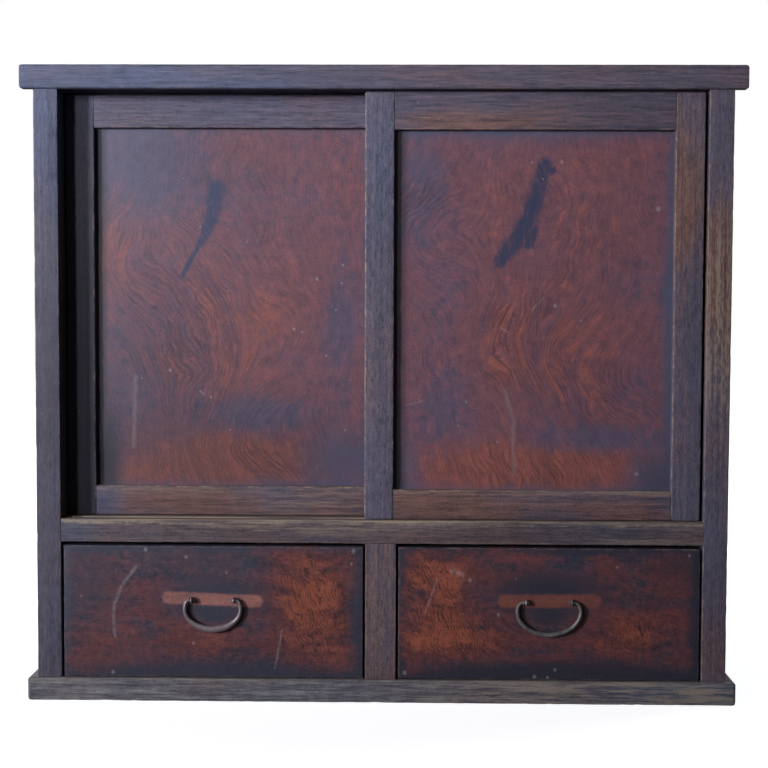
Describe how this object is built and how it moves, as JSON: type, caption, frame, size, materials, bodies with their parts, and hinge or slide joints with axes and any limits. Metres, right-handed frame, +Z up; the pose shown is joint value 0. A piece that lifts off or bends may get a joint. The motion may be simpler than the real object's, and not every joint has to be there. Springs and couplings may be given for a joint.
{
  "type": "kitchen cabinet",
  "caption": "Low wooden kitchen cabinet with sliding panelled doors above drawers with swinging iron bails.",
  "frame": {"origin": "bottom centre of the whole cabinet, handles included", "axes": "+X to the viewer's right along the width, the doors and drawers face -Y, +Z up"},
  "size_m": [0.881, 0.4054, 0.7796],
  "materials": {
    "frame_wood": "dark stained, worn satin",
    "figured_panel": "figured, rubbed dark lacquer",
    "drawer_front_wood": "figured, rubbed dark lacquer",
    "softwood": "bare, aged",
    "peg_wood": "bare bamboo",
    "iron": "forged, dark brown patina"
  },
  "bodies": {
    "case": {"top_board": "frame_wood", "top_front_rail": "frame_wood", "top_rear_rail": "frame_wood", "top_end_rail_left": "frame_wood", "top_end_rail_right": "frame_wood", "front_post_left": "frame_wood", "front_post_right": "frame_wood", "rear_post_left": "frame_wood", "rear_post_right": "frame_wood", "sill_rail": "frame_wood", "centre_post": "frame_wood", "rear_middle_rail": "frame_wood", "side_middle_rail_left": "frame_wood", "side_middle_rail_right": "frame_wood", "plinth_front_rail": "frame_wood", "plinth_rear_rail": "frame_wood", "plinth_end_rail_left": "frame_wood", "plinth_end_rail_right": "frame_wood", "side_panel_upper_left": "softwood", "side_panel_upper_right": "softwood", "side_panel_lower_left": "softwood", "side_panel_lower_right": "softwood", "back_board_left": "softwood", "back_board_right": "softwood", "back_board_lower": "softwood", "case_bottom": "softwood", "cupboard_floor": "softwood", "shelf_board": "softwood", "shelf_cleat_left": "softwood", "shelf_cleat_right": "softwood", "drawer_guide_left": "softwood", "drawer_guide_right": "softwood", "centre_guide": "softwood", "drawer_kicker": "softwood"},
    "left_door": {"left_door_stile_left": "frame_wood", "left_door_stile_right": "frame_wood", "left_door_top_rail": "frame_wood", "left_door_bottom_rail": "frame_wood", "left_door_panel": "figured_panel"},
    "right_door": {"right_door_stile_left": "frame_wood", "right_door_stile_right": "frame_wood", "right_door_top_rail": "frame_wood", "right_door_bottom_rail": "frame_wood", "right_door_panel": "figured_panel"},
    "left_drawer": {"left_drawer_front": "drawer_front_wood", "left_drawer_side_left": "softwood", "left_drawer_side_right": "softwood", "left_drawer_back": "softwood", "left_drawer_bottom": "softwood", "left_drawer_pegs": "peg_wood", "left_drawer_eye_pins": "iron"},
    "left_bail": {"left_bail": "iron"},
    "right_drawer": {"right_drawer_front": "drawer_front_wood", "right_drawer_side_left": "softwood", "right_drawer_side_right": "softwood", "right_drawer_back": "softwood", "right_drawer_bottom": "softwood", "right_drawer_pegs": "peg_wood", "right_drawer_eye_pins": "iron"},
    "right_bail": {"right_bail": "iron"}
  },
  "joints": [
    {"name": "left_door_slide", "type": "slide", "parent": "case", "child": "left_door", "axis": [1, 0, 0], "range_m": [0, 0.3744]},
    {"name": "right_door_slide", "type": "slide", "parent": "case", "child": "right_door", "axis": [1, 0, 0], "range_m": [-0.3724, 0]},
    {"name": "left_drawer_slide", "type": "slide", "parent": "case", "child": "left_drawer", "axis": [0, -1, 0], "range_m": [0, 0.3]},
    {"name": "left_bail_hinge", "type": "hinge", "parent": "left_drawer", "child": "left_bail", "pos_m": [-0.20665, -0.19858, 0.1263], "axis": [-1, 0, 0], "range_deg": [0, 180]},
    {"name": "right_drawer_slide", "type": "slide", "parent": "case", "child": "right_drawer", "axis": [0, -1, 0], "range_m": [0, 0.3]},
    {"name": "right_bail_hinge", "type": "hinge", "parent": "right_drawer", "child": "right_bail", "pos_m": [0.20665, -0.19858, 0.1263], "axis": [-1, 0, 0], "range_deg": [0, 180]}
  ]
}
